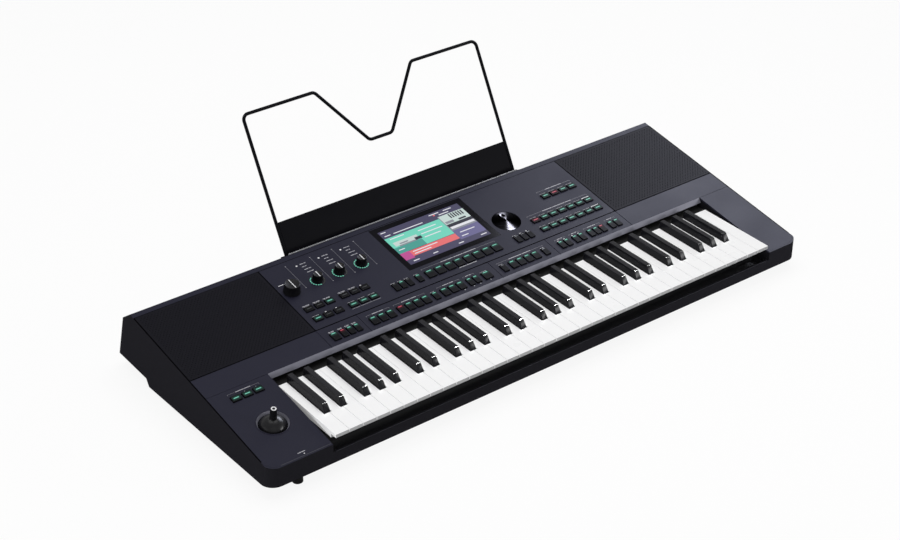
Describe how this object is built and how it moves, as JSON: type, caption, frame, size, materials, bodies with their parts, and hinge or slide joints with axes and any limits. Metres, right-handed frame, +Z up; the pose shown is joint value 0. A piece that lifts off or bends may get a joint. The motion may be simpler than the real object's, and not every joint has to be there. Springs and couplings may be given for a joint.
{
  "type": "arranger keyboard",
  "caption": "Portable arranger keyboard with hinged piano keys, sloping button panel with display, dial and knobs, joystick, built-in loudspeakers and a lift-off wire music stand.",
  "frame": {"origin": "on the floor, in the middle of the overall box's width and depth", "axes": "+X along the keys to the treble side, +Y from the player to the back, +Z up"},
  "size_m": [1.03, 0.5056, 0.3056],
  "materials": {
    "case_black": "fine moulded grain",
    "panel_grey": "satin painted",
    "grille_metal": "perforated, matt",
    "key_white": "polished",
    "key_black": "satin",
    "button_dark": "satin",
    "knob_black": "satin",
    "dial_black": "polished",
    "screen_glass": "polished",
    "screen_module": "lit display",
    "circuit_board": "solder mask",
    "sheet_steel": "black coated",
    "bright_steel": "plain",
    "rubber_grey": "matt",
    "felt_dark": "felt",
    "speaker_paper": "pressed paper",
    "jack_nickel": "nickel",
    "light_ring": "translucent",
    "wire_black": "powder coated"
  },
  "bodies": {
    "case": {"bottom_case": "case_black", "top_deck": "panel_grey", "left_cheek": "panel_grey", "right_cheek": "panel_grey", "control_panel": "panel_grey", "left_grille": "grille_metal", "right_grille": "grille_metal", "speaker_frames": "sheet_steel", "speaker_cones": "speaker_paper", "display_glass": "screen_glass", "lcd_module": "screen_module", "main_board": "circuit_board", "panel_board": "circuit_board", "key_bed": "sheet_steel", "key_hinge_rod": "bright_steel", "key_contact_board": "circuit_board", "rubber_contacts": "rubber_grey", "stop_felts": "felt_dark", "jack_sockets": "jack_nickel", "power_inlet": "knob_black", "stand_holder": "case_black", "joystick_bezel": "knob_black", "control_pots": "bright_steel", "led_rings": "light_ring", "rubber_feet": "rubber_grey", "case_screws": "bright_steel"},
    "music_stand": {"stand_frame": "wire_black", "stand_plate": "wire_black"},
    "joystick_gimbal": {"joystick_gimbal": "bright_steel"},
    "joystick_stick": {"joystick_stick": "knob_black"},
    "volume_knob": {"volume_knob": "knob_black"},
    "assign_knob_1": {"assign_knob_1": "knob_black"},
    "assign_knob_2": {"assign_knob_2": "knob_black"},
    "assign_knob_3": {"assign_knob_3": "knob_black"},
    "data_dial": {"data_dial": "dial_black"},
    "power_button": {"power_button": "button_dark"},
    "top_white_key": {"top_white_key": "key_white"},
    "white_keys_1": {"white_keys_1": "key_white"},
    "black_keys_1": {"black_keys_1": "key_black"},
    "white_keys_2": {"white_keys_2": "key_white"},
    "black_keys_2": {"black_keys_2": "key_black"},
    "white_keys_3": {"white_keys_3": "key_white"},
    "black_keys_3": {"black_keys_3": "key_black"},
    "white_keys_4": {"white_keys_4": "key_white"},
    "black_keys_4": {"black_keys_4": "key_black"},
    "white_keys_5": {"white_keys_5": "key_white"},
    "black_keys_5": {"black_keys_5": "key_black"},
    "left_panel_buttons": {"left_panel_buttons": "button_dark"},
    "page_buttons": {"page_buttons": "button_dark"},
    "screen_row_buttons": {"screen_row_buttons": "button_dark"},
    "dial_buttons": {"dial_buttons": "button_dark"},
    "right_buttons_top": {"right_buttons_top": "button_dark"},
    "right_buttons_middle": {"right_buttons_middle": "button_dark"},
    "right_buttons_low": {"right_buttons_low": "button_dark"},
    "strip_buttons_1": {"strip_buttons_1": "button_dark"},
    "strip_buttons_2": {"strip_buttons_2": "button_dark"},
    "strip_buttons_3": {"strip_buttons_3": "button_dark"},
    "strip_buttons_4": {"strip_buttons_4": "button_dark"},
    "cheek_buttons": {"cheek_buttons": "button_dark"}
  },
  "joints": [
    {"name": "stand_lift", "type": "slide", "parent": "case", "child": "music_stand", "axis": [0, 0.4772, 0.8788], "range_m": [0, 0.025]},
    {"name": "white_keys_1_hinge", "type": "hinge", "parent": "case", "child": "white_keys_1", "pos_m": [0, -0.04377, 0.054], "axis": [1, 0, 0], "range_deg": [0, 2.6], "stiffness_Nm_per_rad": 2, "springref_deg": -20.05},
    {"name": "black_keys_1_hinge", "type": "hinge", "parent": "case", "child": "black_keys_1", "pos_m": [0, -0.04377, 0.054], "axis": [1, 0, 0], "range_deg": [0, 2.6], "stiffness_Nm_per_rad": 1.4, "springref_deg": -20.05},
    {"name": "white_keys_2_hinge", "type": "hinge", "parent": "case", "child": "white_keys_2", "pos_m": [0, -0.04377, 0.054], "axis": [1, 0, 0], "range_deg": [0, 2.6], "stiffness_Nm_per_rad": 2, "springref_deg": -20.05},
    {"name": "black_keys_2_hinge", "type": "hinge", "parent": "case", "child": "black_keys_2", "pos_m": [0, -0.04377, 0.054], "axis": [1, 0, 0], "range_deg": [0, 2.6], "stiffness_Nm_per_rad": 1.4, "springref_deg": -20.05},
    {"name": "white_keys_3_hinge", "type": "hinge", "parent": "case", "child": "white_keys_3", "pos_m": [0, -0.04377, 0.054], "axis": [1, 0, 0], "range_deg": [0, 2.6], "stiffness_Nm_per_rad": 2, "springref_deg": -20.05},
    {"name": "black_keys_3_hinge", "type": "hinge", "parent": "case", "child": "black_keys_3", "pos_m": [0, -0.04377, 0.054], "axis": [1, 0, 0], "range_deg": [0, 2.6], "stiffness_Nm_per_rad": 1.4, "springref_deg": -20.05},
    {"name": "white_keys_4_hinge", "type": "hinge", "parent": "case", "child": "white_keys_4", "pos_m": [0, -0.04377, 0.054], "axis": [1, 0, 0], "range_deg": [0, 2.6], "stiffness_Nm_per_rad": 2, "springref_deg": -20.05},
    {"name": "black_keys_4_hinge", "type": "hinge", "parent": "case", "child": "black_keys_4", "pos_m": [0, -0.04377, 0.054], "axis": [1, 0, 0], "range_deg": [0, 2.6], "stiffness_Nm_per_rad": 1.4, "springref_deg": -20.05},
    {"name": "white_keys_5_hinge", "type": "hinge", "parent": "case", "child": "white_keys_5", "pos_m": [0, -0.04377, 0.054], "axis": [1, 0, 0], "range_deg": [0, 2.6], "stiffness_Nm_per_rad": 2, "springref_deg": -20.05},
    {"name": "black_keys_5_hinge", "type": "hinge", "parent": "case", "child": "black_keys_5", "pos_m": [0, -0.04377, 0.054], "axis": [1, 0, 0], "range_deg": [0, 2.6], "stiffness_Nm_per_rad": 1.4, "springref_deg": -20.05},
    {"name": "top_white_key_hinge", "type": "hinge", "parent": "case", "child": "top_white_key", "pos_m": [0, -0.04377, 0.054], "axis": [1, 0, 0], "range_deg": [0, 2.6], "stiffness_Nm_per_rad": 0.3, "springref_deg": -20.05},
    {"name": "left_panel_buttons_press", "type": "slide", "parent": "case", "child": "left_panel_buttons", "axis": [0, 0.1544, -0.988], "range_m": [0, 0.001], "stiffness_N_per_m": 2400, "springref_m": -0.001},
    {"name": "page_buttons_press", "type": "slide", "parent": "case", "child": "page_buttons", "axis": [0, 0.1544, -0.988], "range_m": [0, 0.001], "stiffness_N_per_m": 800, "springref_m": -0.001},
    {"name": "screen_row_buttons_press", "type": "slide", "parent": "case", "child": "screen_row_buttons", "axis": [0, 0.1544, -0.988], "range_m": [0, 0.001], "stiffness_N_per_m": 1600, "springref_m": -0.001},
    {"name": "dial_buttons_press", "type": "slide", "parent": "case", "child": "dial_buttons", "axis": [0, 0.1544, -0.988], "range_m": [0, 0.001], "stiffness_N_per_m": 600, "springref_m": -0.001},
    {"name": "right_buttons_top_press", "type": "slide", "parent": "case", "child": "right_buttons_top", "axis": [0, 0.1544, -0.988], "range_m": [0, 0.001], "stiffness_N_per_m": 800, "springref_m": -0.001},
    {"name": "right_buttons_middle_press", "type": "slide", "parent": "case", "child": "right_buttons_middle", "axis": [0, 0.1544, -0.988], "range_m": [0, 0.001], "stiffness_N_per_m": 1400, "springref_m": -0.001},
    {"name": "right_buttons_low_press", "type": "slide", "parent": "case", "child": "right_buttons_low", "axis": [0, 0.1544, -0.988], "range_m": [0, 0.001], "stiffness_N_per_m": 1400, "springref_m": -0.001},
    {"name": "strip_buttons_1_press", "type": "slide", "parent": "case", "child": "strip_buttons_1", "axis": [0, 0.1544, -0.988], "range_m": [0, 0.001], "stiffness_N_per_m": 800, "springref_m": -0.001},
    {"name": "strip_buttons_2_press", "type": "slide", "parent": "case", "child": "strip_buttons_2", "axis": [0, 0.1544, -0.988], "range_m": [0, 0.001], "stiffness_N_per_m": 2800, "springref_m": -0.001},
    {"name": "strip_buttons_3_press", "type": "slide", "parent": "case", "child": "strip_buttons_3", "axis": [0, 0.1544, -0.988], "range_m": [0, 0.001], "stiffness_N_per_m": 1200, "springref_m": -0.001},
    {"name": "strip_buttons_4_press", "type": "slide", "parent": "case", "child": "strip_buttons_4", "axis": [0, 0.1544, -0.988], "range_m": [0, 0.001], "stiffness_N_per_m": 1800, "springref_m": -0.001},
    {"name": "cheek_buttons_press", "type": "slide", "parent": "case", "child": "cheek_buttons", "axis": [0, 0.1544, -0.988], "range_m": [0, 0.001], "stiffness_N_per_m": 600, "springref_m": -0.001},
    {"name": "joystick_sideways", "type": "hinge", "parent": "case", "child": "joystick_gimbal", "pos_m": [-0.45604, -0.17194, 0.05298], "axis": [0, 0.988, 0.1544], "range_deg": [-15, 15], "stiffness_Nm_per_rad": 0.06},
    {"name": "joystick_forward", "type": "hinge", "parent": "joystick_gimbal", "child": "joystick_stick", "pos_m": [-0.45604, -0.17194, 0.05298], "axis": [1, 0, 0], "range_deg": [-15, 15], "stiffness_Nm_per_rad": 0.06},
    {"name": "volume_turn", "type": "hinge", "parent": "case", "child": "volume_knob", "pos_m": [-0.27706, 0.04985, 0.09978], "axis": [0, -0.1544, 0.988], "range_deg": [-150, 150]},
    {"name": "assign_1_turn", "type": "hinge", "parent": "case", "child": "assign_knob_1", "pos_m": [-0.22792, 0.05316, 0.1003], "axis": [0, -0.1544, 0.988], "continuous": true},
    {"name": "assign_2_turn", "type": "hinge", "parent": "case", "child": "assign_knob_2", "pos_m": [-0.18707, 0.05316, 0.1003], "axis": [0, -0.1544, 0.988], "continuous": true},
    {"name": "assign_3_turn", "type": "hinge", "parent": "case", "child": "assign_knob_3", "pos_m": [-0.14593, 0.05316, 0.1003], "axis": [0, -0.1544, 0.988], "continuous": true},
    {"name": "dial_turn", "type": "hinge", "parent": "case", "child": "data_dial", "pos_m": [0.12106, 0.02534, 0.09595], "axis": [0, -0.1544, 0.988], "continuous": true},
    {"name": "power_press", "type": "slide", "parent": "case", "child": "power_button", "axis": [0, -0.9547, -0.2976], "range_m": [0, 0.002], "stiffness_N_per_m": 600, "springref_m": -0.001}
  ]
}
